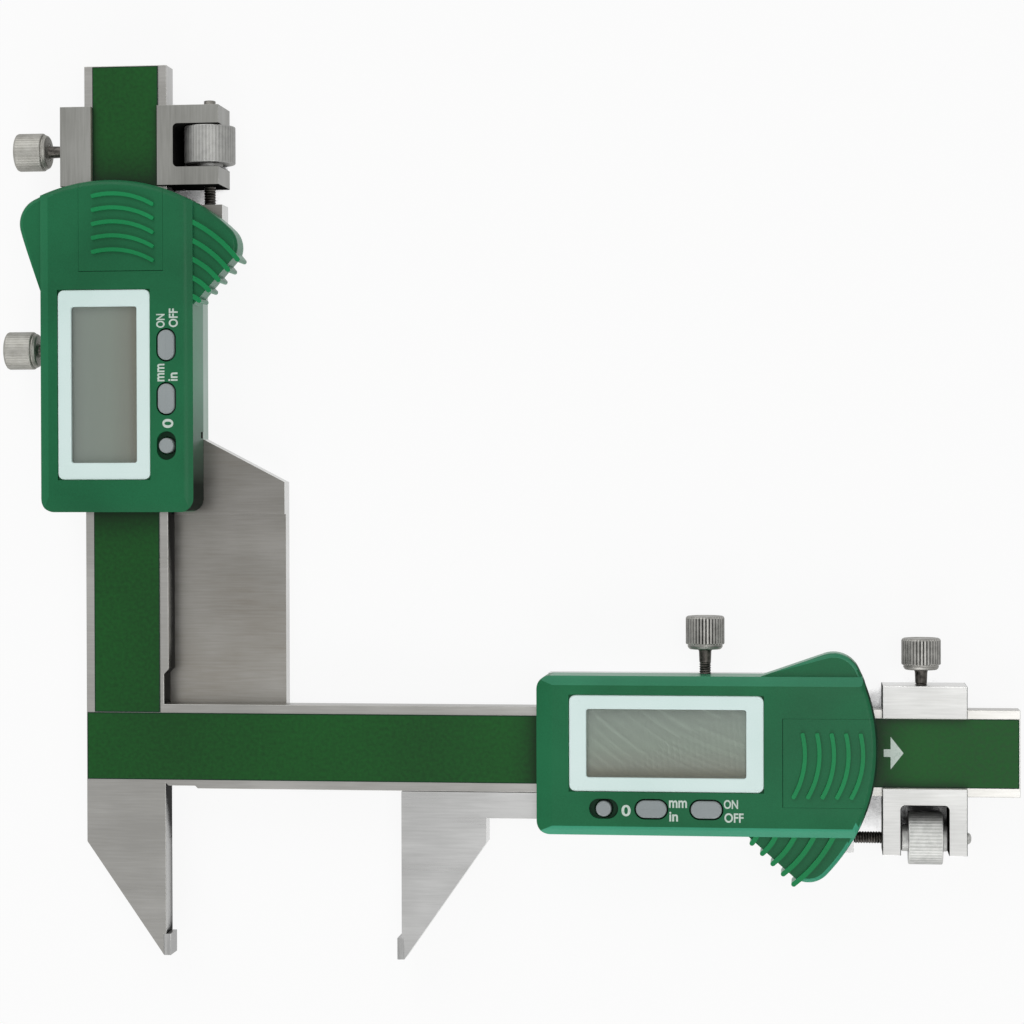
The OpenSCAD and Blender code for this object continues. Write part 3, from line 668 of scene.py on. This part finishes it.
# Lifts every face from low to high, and softens the rims of the upper side
def thicken(bm, low, high, soft):
    bmesh.ops.translate(bm, verts=bm.verts, vec=(0, 0, low))
    top = bmesh.ops.extrude_face_region(bm, geom=bm.faces[:])["geom"]
    topVerts = {item for item in top if isinstance(item, bmesh.types.BMVert)}
    topFaces = {item for item in top if isinstance(item, bmesh.types.BMFace)}
    bmesh.ops.translate(bm, verts=list(topVerts), vec=(0, 0, high - low))
    bmesh.ops.recalc_face_normals(bm, faces=bm.faces)
    rim = [edge for edge in bm.edges if topVerts.issuperset(edge.verts)
           and len(topFaces.intersection(edge.link_faces)) == 1]
    bmesh.ops.bevel(bm, geom=rim, offset=soft, affect="EDGES", segments=4, profile=0.5, material=-1)


# A flat plate with round corners, its upper edge softened
def roundedPlate(size, corner, low, high, soft):
    bm = bmesh.new()
    addRoundedFace(bm, size, corner)
    thicken(bm, low, high, soft)
    return bm


# weld in mm, the angles in degrees
softening = {"weld": 0.003, "flatBelow": 0.5, "sharpAbove": 28, "segments": 2}


# A node's own mesh, welded, reshaped if asked, with its sharp edges softened
def softenedCopy(node, offset, reshape=None, *values):
    bm = bmesh.new()
    bm.from_mesh(frame["nodes"][node].data)
    bm.transform(Matrix.Scale(1 / mm, 4) @ turnOf(node).inverted())
    bmesh.ops.remove_doubles(bm, verts=bm.verts, dist=softening["weld"])
    bmesh.ops.recalc_face_normals(bm, faces=bm.faces)
    bmesh.ops.dissolve_limit(bm, angle_limit=radians(softening["flatBelow"]), verts=bm.verts, edges=bm.edges)
    if reshape:
        reshape(bm, *values)
    edges = [edge for edge in bm.edges if edge.calc_face_angle(0) > radians(softening["sharpAbove"])]
    bmesh.ops.bevel(bm, geom=edges, offset=offset, affect="EDGES", segments=softening["segments"],
                    profile=0.5, material=-1, clamp_overlap=True)
    return bm


softEdges = {
    "main_beam": 0.12, "fixed_jaw_tip": 0.08, "moving_jaw_tip": 0.08,
    "slider": 0.15, "clamp": 0.2, "housing": 0.12, "cell_cover": 0.06,
}


# Paints walls and slanted faces with the second material, on most pieces a lighter steel as painted
# reflection
def paintSides(bm):
    for face in bm.faces:
        if abs(face.normal.z) < 0.97:
            face.material_index = 1


# lips: their distance from the strip's middle, and how much nearer they are brought
clampForm = {"lips": 6.55, "reach": 0.17, "lipBand": 0.4, "windowDepth": 12, "cheek": 2.5}


# The clamp's lips reach the edge of the strip
def stretchLips(bm, middle):
    for vert in bm.verts:
        across = vert.co.y - middle
        if abs(abs(across) - clampForm["lips"]) < 0.05:
            vert.co.y -= clampForm["reach"] * (1 if across > 0 else -1)


# Painted shade: the window lies in the dark, the lips that face the strip turn a dull grey, and the ends
# that face the case go dark, on the thickness clamp both ends
def paintClamp(bm, low, high, middle, unit):
    for face in bm.faces:
        at = face.calc_center_median()
        fromEnd = min(at.x - low.x, high.x - at.x)
        inWindow = at.y < low.y + clampForm["windowDepth"] and fromEnd > clampForm["cheek"]
        atLip = abs(abs(at.y - middle) - clampForm["lips"]) < clampForm["lipBand"]
        if face.material_index and inWindow:
            face.material_index = 2
        elif atLip and abs(face.normal.y) > 0.3:
            face.material_index = 3
        elif face.normal.x < -0.3 or (unit == "thickness" and face.normal.x > 0.3):
            face.material_index = 4


# Where the height slider's wall lies under its case, and where the short arm's flank lies
shadedWall = {"from": 14, "to": 50}
flank = {"from": -66, "to": -60}


# The outer wall of the height slider stands in the shade of its case
def paintShade(bm):
    for face in bm.faces:
        under = shadedWall["from"] < face.calc_center_median().x < shadedWall["to"]
        if face.material_index and face.normal.y < -0.3 and under:
            face.material_index = 2


# The flank of the short arm, beside the tongue, takes the flank steel with its painted shade
def paintFlank(bm):
    for face in bm.faces:
        if face.normal.x > 0.7 and flank["from"] < face.calc_center_median().x < flank["to"]:
            face.material_index = 1


# Further materials of the sliders and clamps: lighter walls as painted reflection; painted shade under the
# height case, in the windows, at the lips and at the ends
walls = {"thickness_slider": (wallX,), "height_slider": (wallY, wallShade),
         "thickness_clamp": (wallX, windowWall, lipX, clampShade),
         "height_clamp": (clampWallY, windowWall, lipY, windowWall)}
# Painted light and shade on the cases: the thickness case has lighter bevels and walls and a dark free end,
# the height case a lighter upper bevel and a wall that darkens beside the tongue
caseCoatsAndLight = {"thickness": (casePlastic, caseEdge, casePocket, caseRib, caseGlow, caseGlow, casePocket),
             "height": (casePlastic, caseSoft, casePocket, caseRib, casePlastic, caseWall, casePlastic)}

# Heights above the rest plane, and lengths from the ends of the case
caseForm = {
    "face": 13.5, "endBevel": 1.7, "endFall": 3.0,
    "wingTop": 12.1, "wingRound": 0.8, "wingLength": 14.5, "wingRibFrom": 38, "wingRibDepth": 9.4,
    "pocketFloor": 12.6, "pocketReach": 3.5, "bevelFrom": 12.6, "freeEnd": 20,
}
coverForm = {"growth": 1.008, "ribRound": 0.26}


# Lengthens the bevel of the inner end and rounds the edges of the wings
def shapeCase(bm, low, high):
    for vert in bm.verts:
        if abs(vert.co.z - caseForm["face"]) < 0.01 and abs(vert.co.x - low.x - caseForm["endBevel"]) < 0.02:
            vert.co.x = low.x + caseForm["endFall"]
    rims = []
    for edge in bm.edges:
        level = all(abs(vert.co.z - caseForm["wingTop"]) < 0.01
                    and vert.co.x > high.x - caseForm["wingLength"] for vert in edge.verts)
        ups = sorted(abs(face.normal.z) for face in edge.link_faces)
        if level and len(ups) == 2 and ups[0] < 0.1 and ups[1] > 0.9 and edge.is_convex:
            rims.append(edge)
    bmesh.ops.bevel(bm, geom=rims, offset=caseForm["wingRound"], affect="EDGES", segments=4,
                    profile=0.5, material=-1)


# Painted light: the long bevels, the outer walls and the ribs are lighter than the face. Painted shade
# darkens the pocket floor round the zero button and, on the thickness case, the free end
def paintCase(bm, low, high, middle, zeroAt):
    for face in bm.faces:
        at = face.calc_center_median()
        side = abs(face.normal.z) < 0.985 and abs(at.y - middle) > caseForm["bevelFrom"]
        inner = at.x - low.x < caseForm["endFall"]
        if side and at.y > middle and abs(face.normal.x) < 0.5 and not inner:
            face.material_index = 1
        if side and at.y < middle and face.normal.z > 0.3 and not inner:
            face.material_index = 4
        if side and at.y < middle and face.normal.z <= 0.3:
            face.material_index = 5
        if face.normal.x > 0.78 and at.x > high.x - caseForm["freeEnd"]:
            face.material_index = 6
        nearZero = (at.xy - zeroAt.xy).length < caseForm["pocketReach"]
        if abs(at.z - caseForm["pocketFloor"]) < 0.05 and nearZero:
            face.material_index = 2
        onWing = at.x > low.x + caseForm["wingRibFrom"] and at.y < low.y + caseForm["wingRibDepth"]
        rib = at.z > caseForm["face"] + 0.02 or (at.z > caseForm["wingTop"] + 0.02 and onWing)
        if rib and face.normal.z > -0.1:
            face.material_index = 3


# The cover fills its opening, and its ribs end round
def widenCover(bm, low, high):
    middle = (low.y + high.y) / 2
    for vert in bm.verts:
        vert.co.y = middle + (vert.co.y - middle) * coverForm["growth"]
    ends = [edge for edge in bm.edges if min(vert.co.z for vert in edge.verts) > caseForm["face"] - 0.02
            and abs(edge.verts[0].co.z - edge.verts[1].co.z) > 0.3 and edge.calc_face_angle(0) > radians(60)]
    bmesh.ops.bevel(bm, geom=ends, offset=coverForm["ribRound"], affect="EDGES", segments=4,
                    profile=0.5, material=-1)


for softNode in ("main_beam", "fixed_jaw_tip", "moving_jaw_tip"):
    copy = softenedCopy(softNode, softEdges[softNode])
    if softNode == "main_beam":
        paintFlank(copy)
    finishPiece(softNode + "_ground", copy, softNode, finishAndLightOf(softNode), flankSteel)
for unit in units:
    stripMiddle = middleOf(f"{unit}_scale").y
    for kind in ("slider", "clamp"):
        softNode = f"{unit}_{kind}"
        if kind == "clamp":
            copy = softenedCopy(softNode, softEdges[kind], stretchLips, stripMiddle)
        else:
            copy = softenedCopy(softNode, softEdges[kind])
        paintSides(copy)
        if kind == "clamp":
            paintClamp(copy, *unitBox(softNode), stripMiddle, unit)
        elif unit == "height":
            paintShade(copy)
        finishPiece(softNode + "_soft", copy, softNode, finishAndLightOf(softNode), *walls[softNode])
    for kind, reshape in (("housing", shapeCase), ("cell_cover", widenCover)):
        softNode = f"{unit}_{kind}"
        copy = softenedCopy(softNode, softEdges[kind], reshape, *unitBox(softNode))
        paintCase(copy, *unitBox(f"{unit}_housing"), stripMiddle, middleOf(f"{unit}_zero_button"))
        finishPiece(softNode + "_soft", copy, softNode, *caseCoatsAndLight[unit])
print("softened pieces made")


knob = {
    "length": 6.3, "shortLength": 5.95, "shortNode": "thickness_clamp_screw",
    "shank": 1.08, "neck": 2.4, "pitch": 0.45, "threadDepth": 0.14,
    "teeth": 36, "knurlDepth": {"thickness": 0.16, "height": 0.035},
}


# Stands along Z with its tip at zero, then lies down along Y
def makeScrew(node):
    low, high = unitBox(node)
    centre = (low + high) / 2
    radius = (high.x - low.x) / 2
    length = knob["shortLength"] if node == knob["shortNode"] else knob["length"]
    start = high.y - low.y - length
    shank = knob["shank"]
    end = start + length
    body = spinProfile([
        (0, start - knob["neck"]), (shank - 0.1, start - knob["neck"]), (shank, start - knob["neck"] + 0.1),
        (shank + 0.08, start - 0.35), (shank + 0.2, start), (radius - 1.9, start + 0.25),
        (radius - 1.75, start + 0.12), (radius - 0.75, start + 0.12), (radius - 0.5, start + 0.3),
        (radius - 0.3, start + 0.7),
        (radius - 0.38, start + 0.78), (radius - 0.38, start + 0.95), (radius - 0.1, start + 1.05),
        (radius, start + 1.2), (radius, end - 0.45), (radius - 0.12, end - 0.18),
        (radius - 0.4, end), (radius - 0.9, end), (radius - 1.0, end - 0.1), (0, end - 0.1)],
        4 * knob["teeth"])
    cutKnurl(body, radius - 0.05, knob["knurlDepth"][node.split("_")[0]], knob["teeth"])
    joinMesh(body, threadedRod(shank, start - knob["neck"] + 0.3, knob["pitch"], knob["threadDepth"]))
    for face in body.faces:
        at = face.calc_center_median()
        if at.z < start + 0.1 and at.xy.length < shank + 0.3:
            face.material_index = 2
    bmesh.ops.rotate(body, verts=body.verts, cent=(0, 0, 0), matrix=Matrix.Rotation(radians(-90), 3, "X"))
    bmesh.ops.translate(body, verts=body.verts, vec=(centre.x, low.y, centre.z))
    return body


grooves = {"thickness": grooveX, "height": grooveY}
for unit in units:
    for kind in ("lock_screw", "clamp_screw"):
        screwNode = f"{unit}_{kind}"
        finishPiece(screwNode + "_knurled", makeScrew(screwNode), screwNode, finishAndLightOf(screwNode),
                    grooves[unit], rodSteel, smooth=20)
print("lock screws made")


feed = {
    "pitch": 0.5, "threadDepth": 0.16, "stub": 1.3, "dome": {"thickness": 0.7, "height": 0.15},
    "wheelWidth": {"thickness": 6.3, "height": 7.1}, "wheelShift": {"thickness": 0.2, "height": 0.3},
    "hubRadius": 2.45, "bore": 1.15, "edge": 0.2, "teeth": 46, "knurlDepth": 0.05,
}


def makeRod(node):
    low, high = unitBox(node)
    radius = (high.y - low.y) / 2
    length = high.x - low.x
    dome = feed["dome"][node.split("_")[0]]
    start = length - feed["stub"]
    bm = threadedRod(radius, start, feed["pitch"], feed["threadDepth"])
    cap = spinProfile([
        (0, start), (radius, start), (radius, length - dome),
        (radius - 0.12 * dome, length - 0.6 * dome), (radius - 0.4 * dome, length - 0.25 * dome),
        (radius - 0.9 * dome, length), (0, length)], 32)
    joinMesh(bm, cap)
    bmesh.ops.rotate(bm, verts=bm.verts, cent=(0, 0, 0), matrix=Matrix.Rotation(radians(90), 3, "Y"))
    bmesh.ops.translate(bm, verts=bm.verts, vec=(low.x, (low.y + high.y) / 2, (low.z + high.z) / 2))
    return bm


def makeWheel(node):
    low, high = unitBox(node)
    centre = (low + high) / 2
    radius = (high.y - low.y) / 2
    hub = (high.x - low.x) / 2
    unit = node.split("_")[0]
    half = feed["wheelWidth"][unit] / 2
    shift = feed["wheelShift"][unit]
    edge = feed["edge"]
    points = []
    for side in (1, -1):
        face = half + side * shift
        profile = [(feed["bore"], hub), (feed["hubRadius"] - 0.2, hub), (feed["hubRadius"], hub - 0.2),
                   (feed["hubRadius"], face), (radius - edge, face), (radius - edge / 3, face - edge / 3),
                   (radius, face - edge)]
        points += [(reach, side * height) for reach, height in profile[::side]]
    bm = spinProfile(points, 4 * feed["teeth"], closed=True)
    cutKnurl(bm, radius - 0.05, feed["knurlDepth"], feed["teeth"])
    bmesh.ops.rotate(bm, verts=bm.verts, cent=(0, 0, 0), matrix=Matrix.Rotation(radians(90), 3, "Y"))
    bmesh.ops.translate(bm, verts=bm.verts, vec=centre)
    return bm


wheelGrooves = {"thickness": wheelGrooveX, "height": wheelGrooveY}
stubs = {"thickness": stubX, "height": stubY}
for unit in units:
    rodNode = f"{unit}_feed_rod"
    rod = makeRod(rodNode)
    for face in rod.faces:
        if face.calc_center_median().x > unitBox(rodNode)[1].x - feed["stub"]:
            face.material_index = 1
    finishPiece(rodNode + "_threaded", rod, rodNode, finishAndLightOf(rodNode), stubs[unit])
    wheelNode = f"{unit}_feed_wheel"
    finishPiece(wheelNode + "_knurled", makeWheel(wheelNode), wheelNode, finishAndLightOf(wheelNode),
                wheelGrooves[unit], smooth=20)
print("fine feeds made")


display = {
    "corner": 1.25, "viewCorner": 0.45, "border": (3.2, 2.6), "soft": 0.18,
    "windowSoft": 0.08, "glassCorner": 0.3, "glassSoft": 0.1,
}
button = {"collar": 0.75, "soft": 0.3, "proud": 0.15}


def makeBezel(node):
    low, high = unitBox(node)
    size = (high - low).xy
    inner = size - 2 * Vector(display["border"])
    bm = flatFrame(size, display["corner"], inner, display["viewCorner"])
    thicken(bm, low.z, high.z, display["soft"])
    placeOver(bm, low, high)
    return bm


def makeWindow(node):
    low, high = unitBox(node)
    bm = roundedPlate(high - low, display["viewCorner"], low.z, high.z, display["windowSoft"])
    placeOver(bm, low, high)
    return bm


def makeDisplay(node, window):
    low, high = unitBox(node)
    seenLow, seenHigh = unitBox(window)
    bm = roundedPlate(high - low, display["glassCorner"], low.z, high.z, display["glassSoft"])
    placeOver(bm, low, high)
    layer = bm.loops.layers.uv.new("display")
    seen = seenHigh - seenLow
    for face in bm.faces:
        for loop in face.loops:
            across = loop.vert.co - seenLow
            loop[layer].uv = (across.x / seen.x, across.y / seen.y)
    return bm


def makeButton(node):
    low, high = unitBox(node)
    size = (high - low).xy - 2 * Vector((button["collar"], button["collar"]))
    corner = min(size) / 2 - 0.01
    bm = roundedPlate(size, corner, low.z, high.z + button["proud"], button["soft"])
    placeOver(bm, low, high)
    return bm


for unit in units:
    bezelNode, lensNode, lcdNode = f"{unit}_bezel", f"{unit}_lens", f"{unit}_lcd"
    finishPiece(bezelNode + "_frame", makeBezel(bezelNode), bezelNode, palePlastic)
    finishPiece(lensNode + "_clear", makeWindow(lensNode), lensNode, windowClear)
    finishPiece(lcdNode + "_glass", makeDisplay(lcdNode, lensNode), lcdNode, finishAndLightOf(lcdNode))
    for kind in ("zero_button", "unit_button", "power_button"):
        buttonNode = f"{unit}_{kind}"
        finishPiece(buttonNode + "_cap", makeButton(buttonNode), buttonNode, buttonPlastic)
print("displays and buttons made")


# words, the button they stand by, place from its middle, and width and height of the print
labels = [
    ("0", "zero_button", (4.15, -0.3), (1.7, 2.1)),
    ("mm", "unit_button", (4.9, 1.0), (3.3, 1.38)),
    ("in", "unit_button", (4.1, -1.3), (1.6, 1.78)),
    ("ON", "power_button", (4.5, 1.05), (2.6, 1.65)),
    ("OFF", "power_button", (5.05, -1.42), (3.5, 1.75)),
]
printing = {"thickness": 0.015, "weight": 0.024, "aboveBezel": 0.15}


def makeWords(words, centre, size):
    curve = bpy.data.curves.new("words", "FONT")
    curve.body = words
    curve.offset = printing["weight"]
    curve.resolution_u = 6
    holder = bpy.data.objects.new("words", curve)
    scene.collection.objects.link(holder)
    mesh = bpy.data.meshes.new_from_object(holder.evaluated_get(bpy.context.evaluated_depsgraph_get()))
    bpy.data.objects.remove(holder)
    bpy.data.curves.remove(curve)
    bm = bmesh.new()
    bm.from_mesh(mesh)
    bpy.data.meshes.remove(mesh)
    bmesh.ops.remove_doubles(bm, verts=bm.verts, dist=0.0005)
    low = Vector([min(vert.co[axis] for vert in bm.verts) for axis in range(3)])
    high = Vector([max(vert.co[axis] for vert in bm.verts) for axis in range(3)])
    bmesh.ops.translate(bm, verts=bm.verts, vec=-(low + high) / 2)
    bmesh.ops.scale(bm, verts=bm.verts, vec=(size[0] / (high.x - low.x), size[1] / (high.y - low.y), 1))
    raiseFaces(bm, bm.faces[:], printing["thickness"])
    bmesh.ops.translate(bm, verts=bm.verts, vec=centre)
    return bm


for unit in units:
    caseTop = unitBox(f"{unit}_bezel")[1].z + printing["aboveBezel"]
    for words, besideKind, shift, size in labels:
        middle = middleOf(f"{unit}_{besideKind}")
        place = (middle.x + shift[0], middle.y + shift[1], caseTop)
        finishPiece(f"{unit}_label_{words}", makeWords(words, place, size), f"{unit}_housing", ink,
                    stands=False)

arrow = {
    "tipFromEnd": 20.95, "headLength": 2.35, "headWidth": 6.0, "stemWidth": 1.4, "stemLength": 1.25,
}


def makeArrow():
    low, high = unitBox("thickness_scale")
    tip = high.x - arrow["tipFromEnd"]
    back = tip - arrow["headLength"]
    middle = (low.y + high.y) / 2
    bm = bmesh.new()
    outline = [(tip, 0), (back, arrow["headWidth"] / 2), (back, arrow["stemWidth"] / 2),
               (back - arrow["stemLength"], arrow["stemWidth"] / 2)]
    outline += [(along, -across) for along, across in reversed(outline[1:])]
    face = bm.faces.new([bm.verts.new((along, middle + across, high.z)) for along, across in outline])
    raiseFaces(bm, [face], printing["thickness"])
    return bm


finishPiece("thickness_scale_arrow", makeArrow(), "thickness_scale", ink, stands=False)

seam = {"width": 0.17, "height": 0.012, "corner": 0.05, "soft": 0.003}


# A dark line runs round the edge of each strip
def makeSeam(node):
    low, high = unitBox(node)
    size = (high - low).xy
    inner = size - 2 * Vector((seam["width"], seam["width"]))
    bm = flatFrame(size, seam["corner"], inner, seam["corner"])
    thicken(bm, high.z, high.z + seam["height"], seam["soft"])
    placeOver(bm, low, high)
    return bm


for unit in units:
    finishPiece(f"{unit}_scale_seam", makeSeam(f"{unit}_scale"), f"{unit}_scale", casePocket, stands=False)
print("print made")
